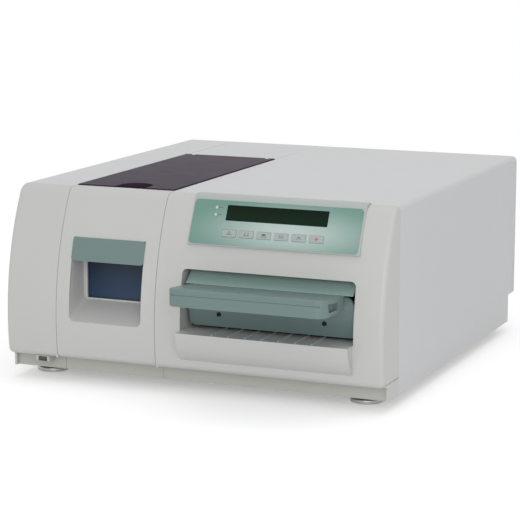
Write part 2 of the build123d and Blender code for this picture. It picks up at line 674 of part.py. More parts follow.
# Cassette: steel tray and lid with a seal, green moulded front and handle
cassette_sides = (cassette_x - cassette_width / 2, cassette_x + cassette_width / 2)
seal_top = split_height + seal_thickness
moulding_x = (cassette_x - 118, cassette_x + 118)
port_x = (cassette_x - 60, cassette_x, cassette_x + 60)
port_z = 118.0
port_radius = 4.0
rack_z = (100.0, 101.5)
with BuildPart() as cassette_tray:
    block(cassette_sides, (cassette_front, cassette_back), (tray_bottom, split_height))
    fillet(cassette_tray.edges().filter_by(Axis.Z), 14)
    fillet(cassette_tray.faces().sort_by(Axis.Z)[0].edges(), 5)
    offset(amount=-sheet, openings=cassette_tray.faces().sort_by(Axis.Z)[-1])
    with BuildSketch(Plane.XY.offset(split_height - rim_thickness)):
        with Locations((cassette_x, y_at((cassette_front + cassette_back) / 2))):
            length = cassette_back - cassette_front
            RectangleRounded(cassette_width + 2 * rim_width, length + 2 * rim_width, 14 + rim_width)
            RectangleRounded(cassette_width - 2 * sheet, length - 2 * sheet, 14 - sheet, mode=Mode.SUBTRACT)
    extrude(amount=rim_thickness)
    for x in port_x:
        rod(x, cassette_back, port_z, port_radius, 8, Mode.SUBTRACT, axis="Y")
save(cassette_tray.part, "cassette_tray")

with BuildPart() as cassette_seal:
    with BuildSketch(Plane.XY.offset(split_height)):
        with Locations((cassette_x, y_at((cassette_front + cassette_back) / 2))):
            RectangleRounded(cassette_width + 2 * rim_width - 1, length + 2 * rim_width - 1, 14 + rim_width)
            RectangleRounded(cassette_width - 2, length - 2, 14, mode=Mode.SUBTRACT)
    extrude(amount=seal_thickness)
save(cassette_seal.part, "cassette_seal")

lid_cut = 35.0
with BuildPart() as cassette_lid:
    with BuildSketch(Plane.XY.offset(seal_top)):
        with Locations((cassette_x, y_at((cassette_front + cassette_back) / 2))):
            RectangleRounded(cassette_width, length, 14)
    extrude(amount=lid_top - seal_top, taper=12)
    fillet(cassette_lid.faces().sort_by(Axis.Z)[-1].edges(), 5)
    offset(amount=-sheet, openings=cassette_lid.faces().sort_by(Axis.Z)[0])
    with BuildSketch(Plane.XY.offset(seal_top)):
        with Locations((cassette_x, y_at((cassette_front + cassette_back) / 2))):
            RectangleRounded(cassette_width + 2 * rim_width, length + 2 * rim_width, 14 + rim_width)
            RectangleRounded(cassette_width - 2 * sheet, length - 2 * sheet, 14 - sheet, mode=Mode.SUBTRACT)
    extrude(amount=rim_thickness)
    block(grown(cassette_sides, 10), (0, lid_cut), (split_height, lid_top + 1), Mode.SUBTRACT)
    for step in range(5):
        groove_x = cassette_x + (step - 2) * 32
        block((groove_x - 4, groove_x + 4), (90, 370), (lid_top - 0.4, lid_top + 1), Mode.SUBTRACT)
save(cassette_lid.part, "cassette_lid")

slot_pitch = 19.0
with BuildPart() as instrument_rack:
    rack_x = grown(cassette_sides, -6)
    rack_depth = (cassette_front + 8, cassette_back - 8)
    block(rack_x, rack_depth, rack_z)
    fillet(instrument_rack.edges().filter_by(Axis.Z), 8)
    with Locations((cassette_x, y_at((cassette_front + cassette_back) / 2), (rack_z[0] + rack_z[1]) / 2)):
        with GridLocations(60, slot_pitch, 3, 19):
            Box(46, 8, 4, mode=Mode.SUBTRACT)
    for x in (rack_x[0] + 15, rack_x[1] - 15):
        block((x - 1, x + 1), (rack_depth[0] + 20, rack_depth[1] - 20), (tray_bottom + sheet, rack_z[0]))
save(instrument_rack.part, "instrument_rack")

# Cassette lid front: sloped green cap over the front edge of the steel lid
bevel_low = (10.0, 152.8)
bevel_high = (28.0, 166.5)
with BuildPart() as cassette_lid_front:
    with BuildSketch(Plane.YZ.offset(moulding_x[0])) as bevel_view:
        with BuildLine():
            Polyline(
                (y_at(bevel_low[0]), bevel_low[1]),
                (y_at(bevel_high[0]), bevel_high[1]),
                (y_at(34), lid_top + 1),
                (y_at(36.5), lid_top + 1),
                (y_at(36.5), lid_top + 0.2),
                (y_at(lid_cut - fit_gap), lid_top + 0.2),
                (y_at(lid_cut - fit_gap), lid_top - 5),
                (y_at(26), seal_top + 6),
                (y_at(26), seal_top + 0.2),
                (y_at(22.4), seal_top + 0.2),
                (y_at(22.4), bevel_low[1]),
                close=True,
            )
        make_face()
        fillet(bevel_view.vertices().sort_by_distance((y_at(bevel_high[0]), bevel_high[1]))[0], 6)
    extrude(amount=moulding_x[1] - moulding_x[0])
    fillet(cassette_lid_front.edges().filter_by(Axis.Z).group_by(Axis.Y)[0], 1.0)
save(cassette_lid_front.part, "cassette_lid_front")

# Cassette handle: leaning tray front, sloping top plate, two side arms and a hollow grip bar
handle_x = (cassette_x - handle_width / 2, cassette_x + handle_width / 2)
bar_front = -handle_reach
bar_back = bar_front + bar_thickness
plate_high = handle_top - 1.5
plate_low = 152.8
plate_end = bevel_low[0] - 0.6
arm_width = 7.0
screw_x = (37.3, 187.0)
screw_z = 112.0
lean_low = (24.0, tray_bottom)
lean_high = (14.0, handle_bottom)


def side_shape(points, x, width):
    """A shape drawn in side view as depth and height pairs, given a width along X."""
    with BuildSketch(Plane.YZ.offset(x)) as view:
        with BuildLine():
            Polyline(*[(y_at(depth), z) for depth, z in points], close=True)
        make_face()
    extrude(view.sketch, amount=width)


with BuildPart() as cassette_handle:
    # grip bar, rounded in plan at its ends
    with BuildSketch(Plane.XY.offset(handle_bottom)) as bar_view:
        with Locations((cassette_x, y_at((bar_front + plate_end) / 2))):
            RectangleRounded(handle_width, plate_end - bar_front, 14)
    extrude(amount=handle_top - handle_bottom)
    crown = cassette_handle.faces().sort_by(Axis.Z)[-1].edges()
    fillet(crown, 2)
    # slope of the top plate
    slope = [(bar_back - 2, handle_top + 5), (bar_back - 2, plate_high + 1), (plate_end, plate_low), (30, plate_low)]
    with BuildSketch(Plane.YZ.offset(handle_x[0] - 1)) as slope_view:
        with BuildLine():
            Polyline(*[(y_at(depth), z) for depth, z in slope + [(30, handle_top + 5)]], close=True)
        make_face()
    extrude(amount=handle_width + 2, mode=Mode.SUBTRACT)
    # hand space behind the bar, open below
    inner_grip = grown(handle_x, -arm_width)
    block(inner_grip, (bar_back, plate_end + 1), (handle_bottom - 1, plate_low - handle_wall), Mode.SUBTRACT)
    # side notches above the lower arms
    with BuildSketch(Plane.YZ.offset(handle_x[0] - 1)) as notch_view:
        with BuildLine():
            notch = [(bar_back + 2, plate_high - handle_wall), (-18, plate_low - handle_wall + 1), (-21, 141), (-52, 142)]
            Polyline(*[(y_at(depth), z) for depth, z in notch], close=True)
        make_face()
        fillet(notch_view.vertices(), 2.5)
    extrude(amount=handle_width + 2, mode=Mode.SUBTRACT)
    # leaning front of the tray, wider than the handle, with rounded upper corners
    lean = degrees(atan((lean_low[0] - lean_high[0]) / (lean_high[1] - lean_low[1])))
    tall = split_height - fit_gap - tray_bottom
    lean_axis = Plane(origin=(cassette_x, y_at(lean_low[0]), tray_bottom), x_dir=(1, 0, 0), z_dir=(0, -cos(radians(lean)), -sin(radians(lean))))
    with BuildSketch(lean_axis) as front_view:
        with Locations((0, tall / 2)):
            Rectangle(moulding_x[1] - moulding_x[0], tall)
        fillet(front_view.vertices().group_by(Axis.Y)[-1], 12)
        fillet(front_view.vertices().group_by(Axis.Y)[0], 8)
    extrude(amount=-handle_wall)
    # rib that ties the top plate to the tray front
    side_shape([(lean_high[0] - 6, plate_low - handle_wall), (plate_end, plate_low - 0.2), (16, plate_low - 1.5), (16, plate_low - handle_wall)], handle_x[0] + 4, handle_width - 8)
    for x in screw_x:
        rod(x, lean_low[0] - 4, screw_z, 3.2, 24, Mode.SUBTRACT, axis="Y")
    block(moulding_x, (cassette_front - fit_gap, 60), (tray_bottom - 5, split_height + 5), Mode.SUBTRACT)
save(cassette_handle.part, "cassette_handle")

with BuildPart() as handle_screws:
    for x in screw_x:
        rod(x, 20.5, screw_z, 2.8, 5, axis="Y")
        rod(x, 18.5, screw_z, 1.3, 2.2, Mode.SUBTRACT, axis="Y")
        rod(x, 25.5, screw_z, 1.9, 5, axis="Y")
save(handle_screws.part, "handle_screws")

# Cassette chamber: sheet channel with a front flange and two guide rails
chamber_x = (0.0, 223.0)
chamber_z = (90.0, 171.0)
chamber_depth = (38.0, 450.0)
with BuildPart() as cassette_chamber:
    block(grown(chamber_x, sheet), chamber_depth, grown(chamber_z, sheet))
    block(grown(chamber_x, 14), (chamber_depth[0], chamber_depth[0] + sheet), grown(chamber_z, 7))
    block(chamber_x, (chamber_depth[0] - 1, chamber_depth[1] - sheet), chamber_z, Mode.SUBTRACT)
    for x in (cassette_sides[0] + 12, cassette_sides[1] - 12):
        block((x - 4, x + 4), (chamber_depth[0] + 4, chamber_depth[1] - 10), (chamber_z[0], tray_bottom - hinge_clearance))
    for x in port_x:
        rod(x, chamber_depth[1], port_z, 8, 6, Mode.SUBTRACT, axis="Y")
    # legs down to the base pan
    for x in (20, 203):
        for depth in (70, 340):
            block((x - 1, x + 1), (depth, depth + 30), (case_bottom + pan_sheet, chamber_z[0] - sheet / 2))
            block((x - 8, x + 1), (depth, depth + 30), (case_bottom + pan_sheet, case_bottom + pan_sheet + 2))
save(cassette_chamber.part, "cassette_chamber")

with BuildPart() as probe_block:
    block(grown((port_x[0], port_x[-1]), 16), (chamber_depth[1], chamber_depth[1] + 14), (port_z - 14, port_z + 14))
    chamfer(probe_block.edges().filter_by(Axis.Y), 3)
    for x in port_x:
        rod(x, chamber_depth[1] - 8, port_z, 6, 17, axis="Y")
        rod(x, cassette_back + 10, port_z, 2.5, 34, axis="Y")
        rod(x, chamber_depth[1] + 20, port_z, 4, 14, axis="Y")
        rod(x, chamber_depth[1] - 8, port_z, 1.2, 75, Mode.SUBTRACT, axis="Y")
save(probe_block.part, "probe_block")

# Feet: two levelling feet that turn, two fixed pads at the rear
for name, (foot_x, foot_depth) in (("front_left_foot", left_foot), ("front_right_foot", right_foot)):
    with BuildPart() as foot:
        post(foot_x, foot_depth, (0, foot_height), foot_radius)
        fillet(foot.edges().group_by(Axis.Z)[-1], 3)
        chamfer(foot.edges().group_by(Axis.Z)[0], 0.8)
        with BuildSketch(Plane.XY.offset(foot_height)):
            with Locations((foot_x, y_at(foot_depth))):
                RegularPolygon(8, 6)
        extrude(amount=5)
        post(foot_x, foot_depth, (foot_height, foot_height + stud_length), stud_radius)
    save(foot.part, name)

with BuildPart() as rear_feet:
    for x in (-rear_foot_x, rear_foot_x):
        post(x, rear_foot_depth, (0, case_bottom), rear_foot_radius)
    chamfer(rear_feet.edges().group_by(Axis.Z)[0], 2)
save(rear_feet.part, "rear_feet")

# Level vial under the front at the left
vial_x = (-229.5, -216.5)
vial_at = (12.5, 31.0)
with BuildPart() as vial_housing:
    block(grown(vial_x, 4), (8, 22), (26.5, fascia_bottom))
    chamfer(vial_housing.edges().filter_by(Axis.X).group_by(Axis.Z)[0], 2)
    block(grown(vial_x, fit_gap), (7, 16.5), (vial_at[1] - 3.3, vial_at[1] + 3.3), Mode.SUBTRACT)
save(vial_housing.part, "vial_housing")

with BuildPart() as level_vial:
    rod((vial_x[0] + vial_x[1]) / 2, vial_at[0], vial_at[1], 3, vial_x[1] - vial_x[0])
    fillet(level_vial.edges(), 1.2)
save(level_vial.part, "level_vial")

# Rear service panel with louvres, fan grille and openings for the fittings
sheet_depth = (case_depth - wall - service_sheet, case_depth - wall)
fan_x = (-140.0, -60.0)
fan_z = (110.0, 190.0)
fan_middle = ((fan_x[0] + fan_x[1]) / 2, (fan_z[0] + fan_z[1]) / 2)
inlet_middle = (150.0, 104.0)
rocker_middle = (197.0, 104.0)
port_middle = (96.0, 104.0)
stub_at = (-200.0, 98.0)
with BuildPart() as service_panel:
    block((service_left - 5, service_right + 5), sheet_depth, (service_bottom - 5, service_top + 5))
    for row in range(7):
        z = 150 + row * 11
        block((60, 210), (sheet_depth[0], case_depth - 0.6), (z, z + 5))
        block((62, 208), (sheet_depth[0] - 1, case_depth - 1.6), (z - 1, z + 4), Mode.SUBTRACT)
    for ring in (12, 20, 28, 36):
        with BuildSketch(Plane.XZ.offset(-y_at(sheet_depth[1] + 1))):
            with Locations(fan_middle):
                Circle(ring)
                Circle(ring - 5, mode=Mode.SUBTRACT)
                Rectangle(4, 90, mode=Mode.SUBTRACT)
                Rectangle(90, 4, mode=Mode.SUBTRACT)
        extrude(amount=4, mode=Mode.SUBTRACT)
    block(grown((inlet_middle[0] - 14, inlet_middle[0] + 14), fit_gap), (600, 604), (inlet_middle[1] - 10.5, inlet_middle[1] + 10.5), Mode.SUBTRACT)
    block((rocker_middle[0] - 11, rocker_middle[0] + 11), (600, 604), (rocker_middle[1] - 15, rocker_middle[1] + 15), Mode.SUBTRACT)
    block((port_middle[0] - 7, port_middle[0] + 7), (600, 604), (port_middle[1] - 6.5, port_middle[1] + 6.5), Mode.SUBTRACT)
    rod(stub_at[0], sheet_depth[0], stub_at[1], 6.3, 8, Mode.SUBTRACT, axis="Y")
save(service_panel.part, "service_panel")

with BuildPart() as exhaust_fitting:
    rod(stub_at[0], sheet_depth[1] + 1.4, stub_at[1], 10, 2.8, axis="Y")
    rod(stub_at[0], case_depth - 10, stub_at[1], 6, 20, axis="Y")
    rod(stub_at[0], case_depth + stub_length / 2, stub_at[1], stub_radius, stub_length, axis="Y")
    rod(stub_at[0], case_depth, stub_at[1], 2.2, 60, Mode.SUBTRACT, axis="Y")
save(exhaust_fitting.part, "exhaust_fitting")

with BuildPart() as exhaust_nut:
    with BuildSketch(Plane.XZ.offset(-y_at(sheet_depth[0] - 0.1))):
        with Locations(stub_at):
            RegularPolygon(11, 6)
            Circle(6.02, mode=Mode.SUBTRACT)
    extrude(amount=5)
save(exhaust_nut.part, "exhaust_nut")

with BuildPart() as power_inlet:
    x, z = inlet_middle
    block((x - 24, x + 24), (sheet_depth[1], case_depth - 0.4), (z - 12, z + 12))
    chamfer(power_inlet.edges().filter_by(Axis.Y), 3)
    block((x - 14, x + 14), (582, sheet_depth[1]), (z - 10.2, z + 10.2))
    block((x - 12, x + 12), (590, case_depth), (z - 8, z + 8), Mode.SUBTRACT)
    for pin_x, pin_z in ((x - 7, z - 2), (x, z + 2), (x + 7, z - 2)):
        block((pin_x - 1, pin_x + 1), (586, 602), (pin_z - 2, pin_z + 2))
save(power_inlet.part, "power_inlet")

with BuildPart() as switch_frame:
    x, z = rocker_middle
    block((x - 13, x + 13), (sheet_depth[1], sheet_depth[1] + 2), (z - 17, z + 17))
    fillet(switch_frame.edges().filter_by(Axis.Y), 2)
    block((x - 10.5, x + 10.5), (588, sheet_depth[1]), (z - 14.5, z + 14.5))
    block((x - 9, x + 9), (591, case_depth), (z - 13, z + 13), Mode.SUBTRACT)
save(switch_frame.part, "switch_frame")

rocker_axis = (sheet_depth[1] - 2.5, rocker_middle[1])
with BuildPart() as power_rocker:
    side_shape(
        [(rocker_axis[0] - 3, z - 3), (rocker_axis[0] + 1, z - 11.5), (rocker_axis[0] + 2.5, z - 12), (rocker_axis[0] + 3.2, z),
         (rocker_axis[0] + 2.5, z + 12), (rocker_axis[0] + 1, z + 11.5), (rocker_axis[0] - 3, z + 3)],
        x - 8.5, 17,
    )
    fillet(power_rocker.edges().filter_by(Axis.X), 0.5)
save(power_rocker.part, "power_rocker")

with BuildPart() as data_port:
    x, z = port_middle
    block((x - 10, x + 10), (sheet_depth[1], sheet_depth[1] + 1.5), (z - 9, z + 9))
    block((x - 6.5, x + 6.5), (588, sheet_depth[1]), (z - 6, z + 6))
    block((x - 4.5, x + 4.5), (592, case_depth), (z - 4, z + 4), Mode.SUBTRACT)
save(data_port.part, "data_port")

# Cooling fan
fan_depth = (575.0, sheet_depth[0])
with BuildPart() as fan_frame:
    block(fan_x, fan_depth, fan_z)
    fillet(fan_frame.edges().filter_by(Axis.Y), 4)
    rod(fan_middle[0], 588, fan_middle[1], 38, 60, Mode.SUBTRACT, axis="Y")
    rod(fan_middle[0], fan_depth[0] + 1.5, fan_middle[1], 15, 3, axis="Y")
    rod(fan_middle[0], fan_depth[0] + 9, fan_middle[1], 2, 14, axis="Y")
    for turn in (45, 135):
        with BuildSketch(Plane.XZ.offset(-y_at(fan_depth[0] + 3))):
            with Locations(fan_middle):
                Rectangle(80, 4, rotation=turn)
        extrude(amount=3)
save(fan_frame.part, "fan_frame")

blade_count = 7
with BuildPart() as fan_rotor:
    rod(fan_middle[0], fan_depth[0] + 12, fan_middle[1], 15, 16, axis="Y")
    fillet(fan_rotor.edges().filter_by(GeomType.CIRCLE).sort_by(Axis.Y)[-1], 2)
    for step in range(blade_count):
        turn = radians(step * 360 / blade_count)
        outward = (cos(turn), 0, sin(turn))
        root = (fan_middle[0] + 12 * cos(turn), y_at(fan_depth[0] + 12), fan_middle[1] + 12 * sin(turn))
        with BuildSketch(Plane(origin=root, x_dir=(0, 1, 0), z_dir=outward)):
            Rectangle(14, 1.4, rotation=35)
        extrude(amount=24)
    bore = 2 + hinge_clearance
    rod(fan_middle[0], fan_depth[0] + 10, fan_middle[1], bore, 13, Mode.SUBTRACT, axis="Y")
save(fan_rotor.part, "fan_rotor")

# Steam generator: insulated upright boiler on three legs
pan_floor = case_bottom + pan_sheet
boiler_at = (80.0, 521.0)
with BuildPart() as steam_generator:
    post(*boiler_at, (48, 196), 38)
    fillet(steam_generator.edges().filter_by(GeomType.CIRCLE), 8)
    post(*boiler_at, (118, 126), 42)
    post(*boiler_at, (190, 206), 12)
    for turn in (0, 120, 240):
        leg_x = boiler_at[0] + 23 * cos(radians(turn))
        leg_depth = boiler_at[1] + 23 * sin(radians(turn))
        post(leg_x, leg_depth, (pan_floor, 56), 4)
    with Locations((boiler_at[0], y_at(boiler_at[1]), 122)):
        with PolarLocations(40, 6):
            Cylinder(1.6, 14)
save(steam_generator.part, "steam_generator")

# Water pump: square head on a round motor, on its foot plate
pump_at = (-12.0, 505.0)
with BuildPart() as water_pump:
    block((pump_at[0] - 22, pump_at[0] + 22), (pump_at[1] - 40, pump_at[1] + 40), (pan_floor, pan_floor + 3))
    block((pump_at[0] - 18, pump_at[0] + 18), (pump_at[1] - 38, pump_at[1] - 10), (pan_floor + 3, pan_floor + 46))
    rod(pump_at[0], pump_at[1] + 14, pan_floor + 26, 18, 50, axis="Y")
    for x in (pump_at[0] - 9, pump_at[0] + 9):
        post(x, pump_at[1] - 24, (pan_floor + 40, pan_floor + 60), 4)
save(water_pump.part, "water_pump")

# Exhaust valve: brass body with a square coil
valve_at = (-12.0, 420.0)
with BuildPart() as solenoid_valve:
    block((valve_at[0] - 14, valve_at[0] + 14), (valve_at[1] - 14, valve_at[1] + 14), (pan_floor, pan_floor + 22))
    block((valve_at[0] - 12, valve_at[0] + 12), (valve_at[1] - 16, valve_at[1] + 16), (pan_floor + 26, pan_floor + 60))
    post(*valve_at, (pan_floor + 20, pan_floor + 66), 7)
    rod(valve_at[0], valve_at[1], pan_floor + 11, 5, 50, axis="Y")
save(solenoid_valve.part, "solenoid_valve")

# Drying air compressor
air_at = (190.0, 510.0)
with BuildPart() as air_compressor:
    block((air_at[0] - 45, air_at[0] + 45), (air_at[1] - 34, air_at[1] + 34), (pan_floor, pan_floor + 44))
    fillet(air_compressor.edges().filter_by(Axis.Z), 10)
    fillet(air_compressor.edges().group_by(Axis.Z)[-1], 6)
    for step in range(6):
        x = air_at[0] - 30 + step * 12
        block((x - 1.5, x + 1.5), (air_at[1] - 24, air_at[1] + 24), (pan_floor + 44, pan_floor + 48))
    rod(air_at[0] - 30, air_at[1] - 36, pan_floor + 24, 4, 14, axis="Y")
save(air_compressor.part, "air_compressor")

# Air filter: round cartridge beside the chamber
filter_at = (248.0, 300.0)
with BuildPart() as air_filter:
    post(*filter_at, (60, 84), 18)
    post(*filter_at, (66, 78), 20)
    post(*filter_at, (46, 100), 4)
save(air_filter.part, "air_filter")

with BuildPart() as filter_bracket:
    block((filter_at[0] - 3, filter_at[0] + 3), (filter_at[1] - 5, filter_at[1] + 5), (pan_floor, 45.7))
    block((filter_at[0] - 14, filter_at[0] + 14), (filter_at[1] - 12, filter_at[1] + 12), (pan_floor, pan_floor + 3))
save(filter_bracket.part, "filter_bracket")

# Power supply: vented sheet box under the chamber
supply_x = (130.0, 222.0)
supply_depth = (110.0, 270.0)
with BuildPart() as power_supply:
    block(supply_x, supply_depth, (pan_floor, pan_floor + 38))
    chamfer(power_supply.edges().group_by(Axis.Z)[-1], 1)
    with Locations(((supply_x[0] + supply_x[1]) / 2, y_at(190), pan_floor + 37)):
        with GridLocations(12, 16, 6, 8):
            Cylinder(3.5, 4, mode=Mode.SUBTRACT)
save(power_supply.part, "power_supply")

# Controller board on four pillars
board_at = ((10.0, 112.0), (110.0, 270.0))
with BuildPart() as controller_board:
    block(*board_at, (pan_floor + 8, pan_floor + 9.6))
    for x in grown(board_at[0], -6):
        for depth in grown(board_at[1], -6):
            post(x, depth, (pan_floor, pan_floor + 8), 3)
    top = pan_floor + 9.6
    block((30, 58), (140, 168), (top, top + 3))
    block((70, 100), (130, 142), (top, top + 12))
    block((20, 30), (190, 250), (top, top + 10))
    for depth in (190, 212, 234):
        block((80, 100), (depth, depth + 16), (top, top + 15))
    for depth in (200, 225):
        post(52, depth, (top, top + 22), 8)
save(controller_board.part, "controller_board")

# Screws that hold the service panel
with BuildPart() as service_screws:
    for x in (-237.5, -120, 0, 120, 237.5):
        for z in (service_bottom + 1.5, service_top - 1.5):
            rod(x, sheet_depth[0] - 3, z, 1.2, 6, axis="Y")
save(service_screws.part, "service_screws")
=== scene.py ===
"""Looks of a cassette autoclave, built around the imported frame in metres."""

import logging
from dataclasses import dataclass
from enum import Enum
from math import cos, radians, sin
from typing import Any

import bmesh
import bpy
from mathutils import Matrix, Vector


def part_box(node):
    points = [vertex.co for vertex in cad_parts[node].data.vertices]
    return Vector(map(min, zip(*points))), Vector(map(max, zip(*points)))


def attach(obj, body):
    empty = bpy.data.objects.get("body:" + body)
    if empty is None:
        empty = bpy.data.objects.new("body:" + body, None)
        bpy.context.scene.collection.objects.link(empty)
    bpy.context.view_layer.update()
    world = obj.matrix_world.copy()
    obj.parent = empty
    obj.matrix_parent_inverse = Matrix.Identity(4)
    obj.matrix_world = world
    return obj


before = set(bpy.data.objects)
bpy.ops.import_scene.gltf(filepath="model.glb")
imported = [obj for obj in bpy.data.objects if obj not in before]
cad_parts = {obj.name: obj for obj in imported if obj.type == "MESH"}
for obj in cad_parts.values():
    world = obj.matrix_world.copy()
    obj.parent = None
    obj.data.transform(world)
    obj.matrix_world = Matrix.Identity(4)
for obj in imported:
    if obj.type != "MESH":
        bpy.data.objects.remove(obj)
log = logging.getLogger("autoclave")

MM = 0.001
# Y of the plane that depths behind the bowed front are counted from
FRONT_MM = -276.0
WHITE = (1, 1, 1, 1)

# the colour drifts in clouds about 110 mm wide, the gloss in patches about 25 mm wide
CLOUDS_PER_M = 9.0
CLOUD_DETAIL = 3.0
PATCHES_PER_M = 40.0
PATCH_DETAIL = 5.0
GLOSS_SPREAD = 0.05

GRAIN_DETAIL = 4.0
COATED_DETAIL = 1.0
BRUSH_STRETCH = (0.02, 1.0, 1.0)
BUMP_STRENGTH = 0.6
COAT_ROUGHNESS = 0.08
SUBSURFACE_MM = 2.0

WELD_M = 1e-6
SPLIT_ANGLE = radians(28)


def at(x: float, depth: float, z: float) -> Vector:
    """A point from X, depth behind the bowed front and height, all in millimetres."""
    return Vector((x, FRONT_MM + depth, z)) * MM


def linear(code: str) -> tuple[float, float, float, float]:
    """Turns an sRGB hex colour into a linear one.

    Args:
        code: Six hex digits with a leading hash.

    Returns:
        Red, green, blue and an alpha of one.
    """
    parts = [int(code[i:i + 2], 16) / 255 for i in (1, 3, 5)]
    red, green, blue = (p / 12.92 if p <= 0.04045 else ((p + 0.055) / 1.055) ** 2.4 for p in parts)
    return (red, green, blue, 1.0)


def empty_tree(owner: bpy.types.Material | bpy.types.World) -> bpy.types.NodeTree:
    """Turns on the nodes of a material or world and clears them.

    Args:
        owner: The new material or world.

    Returns:
        Its node tree, which is empty.
    """
    owner.use_nodes = True
    owner.node_tree.nodes.clear()
    return owner.node_tree


def add_node(
    tree: bpy.types.NodeTree, kind: str, inputs: dict | None = None, **settings: Any,
) -> bpy.types.Node:
    """Adds a shader node with its settings and links.

    Args:
        tree: The material's node tree.
        kind: The node's type name.
        inputs: Socket name or number to a value, or to an output socket to link from.
        settings: Properties to set on the node.

    Returns:
        The new node.
    """
    made = tree.nodes.new(kind)
    for key, value in settings.items():
        setattr(made, key, value)
    for key, value in (inputs or {}).items():
        if isinstance(value, bpy.types.NodeSocket):
            tree.links.new(value, made.inputs[key])
        else:
            made.inputs[key].default_value = value
    return made


class Grain(Enum):
    """How a surface was made, which sets the shape of its fine relief."""

    MOULDED = "moulded"
    COATED = "coated"
    BRUSHED = "brushed"
    POLISHED = "polished"


@dataclass(frozen=True)
class Finish:
    """A material with a fine relief, a slight colour drift and an uneven gloss."""

    name: str
    colour: str
    grain: Grain = Grain.MOULDED
    roughness: float = 0.45
    grain_mm: float = 0.8
    relief_mm: float = 0.02
    drift: float = 0.04
    metallic: float = 0.0
    coat: float = 0.0
    ior: float = 1.5
    specular: float = 0.5
    subsurface: float = 0.0

    def surface_colour(
        self, tree: bpy.types.NodeTree, place: bpy.types.NodeSocket,
    ) -> bpy.types.NodeSocket:
        """Colour that drifts slowly over the piece.

        Args:
            tree: The material's node tree.
            place: Object coordinates in metres.

        Returns:
            The colour socket.
        """
        cloud = add_node(tree, "ShaderNodeTexNoise", {
            "Vector": place, "Scale": CLOUDS_PER_M, "Detail": CLOUD_DETAIL,
        })
        base = linear(self.colour)[:3]
        dark = tuple(c * (1 - self.drift) for c in base) + (1.0,)
        light = tuple(c * (1 + self.drift) for c in base) + (1.0,)
        mixed = add_node(tree, "ShaderNodeMix", {
            0: cloud.outputs["Fac"], 6: dark, 7: light,
        }, data_type="RGBA")
        return mixed.outputs[2]

    def relief(
        self, tree: bpy.types.NodeTree, place: bpy.types.NodeSocket,
    ) -> bpy.types.NodeSocket:
        """Height pattern of the fine grain.

        Args:
            tree: The material's node tree.
            place: Object coordinates in metres.

        Returns:
            The height socket.
        """
        if self.grain is Grain.BRUSHED:
            # strokes fifty times as long along X as they are wide, as a belt leaves them
            place = add_node(tree, "ShaderNodeMapping", {
                "Vector": place, "Scale": BRUSH_STRETCH,
            }).outputs[0]
        noise = add_node(tree, "ShaderNodeTexNoise", {
            "Vector": place,
            "Scale": 1000.0 / self.grain_mm,
            "Detail": COATED_DETAIL if self.grain is Grain.COATED else GRAIN_DETAIL,
        })
        return noise.outputs["Fac"]

    def build(self) -> bpy.types.Material:
        """Makes the material where it isn't made already.

        Returns:
            The one material of this name.
        """
        found = bpy.data.materials.get(self.name)
        if found:
            return found
        material = bpy.data.materials.new(self.name)
        tree = empty_tree(material)
        place = add_node(tree, "ShaderNodeTexCoord").outputs["Object"]
        bump = add_node(tree, "ShaderNodeBump", {
            "Height": self.relief(tree, place),
            "Strength": BUMP_STRENGTH,
            "Distance": self.relief_mm * MM,
        })
        wear = add_node(tree, "ShaderNodeTexNoise", {
            "Vector": place, "Scale": PATCHES_PER_M, "Detail": PATCH_DETAIL,
        })
        gloss = add_node(tree, "ShaderNodeMapRange", {
            "Value": wear.outputs["Fac"],
            "To Min": self.roughness - GLOSS_SPREAD,
            "To Max": self.roughness + GLOSS_SPREAD,
        })
        shader = add_node(tree, "ShaderNodeBsdfPrincipled", {
            "Base Color": self.surface_colour(tree, place),
            "Roughness": gloss.outputs["Result"],
            "Metallic": self.metallic,
            "Normal": bump.outputs["Normal"],
        })
        if not self.metallic:
            shader.inputs["IOR"].default_value = self.ior
            shader.inputs["Specular IOR Level"].default_value = self.specular
        if self.coat:
            shader.inputs["Coat Weight"].default_value = self.coat
            shader.inputs["Coat Roughness"].default_value = COAT_ROUGHNESS
        if self.subsurface:
            shader.inputs["Subsurface Weight"].default_value = self.subsurface
            shader.inputs["Subsurface Scale"].default_value = SUBSURFACE_MM * MM
        add_node(tree, "ShaderNodeOutputMaterial", {"Surface": shader.outputs["BSDF"]})
        return material


@dataclass(frozen=True)
class GradedFinish(Finish):
    """A finish whose colour turns from one shade to another between two points."""

    end_colour: str = "#FFFFFF"
    start: tuple[float, float, float] = (0.0, 0.0, 0.0)
    end: tuple[float, float, float] = (0.0, 0.0, 1.0)
    round_field: bool = False

    def surface_colour(
        self, tree: bpy.types.NodeTree, place: bpy.types.NodeSocket,
    ) -> bpy.types.NodeSocket:
        """Colour graded from start to end, or outwards from start where the field is round.

        A round field is an ellipsoid about start, as far along X, Y and Z as end lies from it.

        Args:
            tree: The material's node tree.
            place: Object coordinates in metres.

        Returns:
            The colour socket.
        """
        reach = Vector(self.end) - Vector(self.start)
        away = add_node(tree, "ShaderNodeVectorMath", {
            0: place, 1: self.start,
        }, operation="SUBTRACT").outputs[0]
        if self.round_field:
            scaled = add_node(tree, "ShaderNodeVectorMath", {
                0: away, 1: tuple(1 / step for step in reach),
            }, operation="MULTIPLY").outputs[0]
            amount = add_node(tree, "ShaderNodeVectorMath", {
                0: scaled,
            }, operation="LENGTH").outputs["Value"]
        else:
            amount = add_node(tree, "ShaderNodeVectorMath", {
                0: away, 1: tuple(reach / reach.length_squared),
            }, operation="DOT_PRODUCT").outputs["Value"]
        smooth = add_node(tree, "ShaderNodeMapRange", {
            "Value": amount,
        }, interpolation_type="SMOOTHSTEP")
        mixed = add_node(tree, "ShaderNodeMix", {
            0: smooth.outputs["Result"], 6: linear(self.colour), 7: linear(self.end_colour),
        }, data_type="RGBA")
        return mixed.outputs[2]


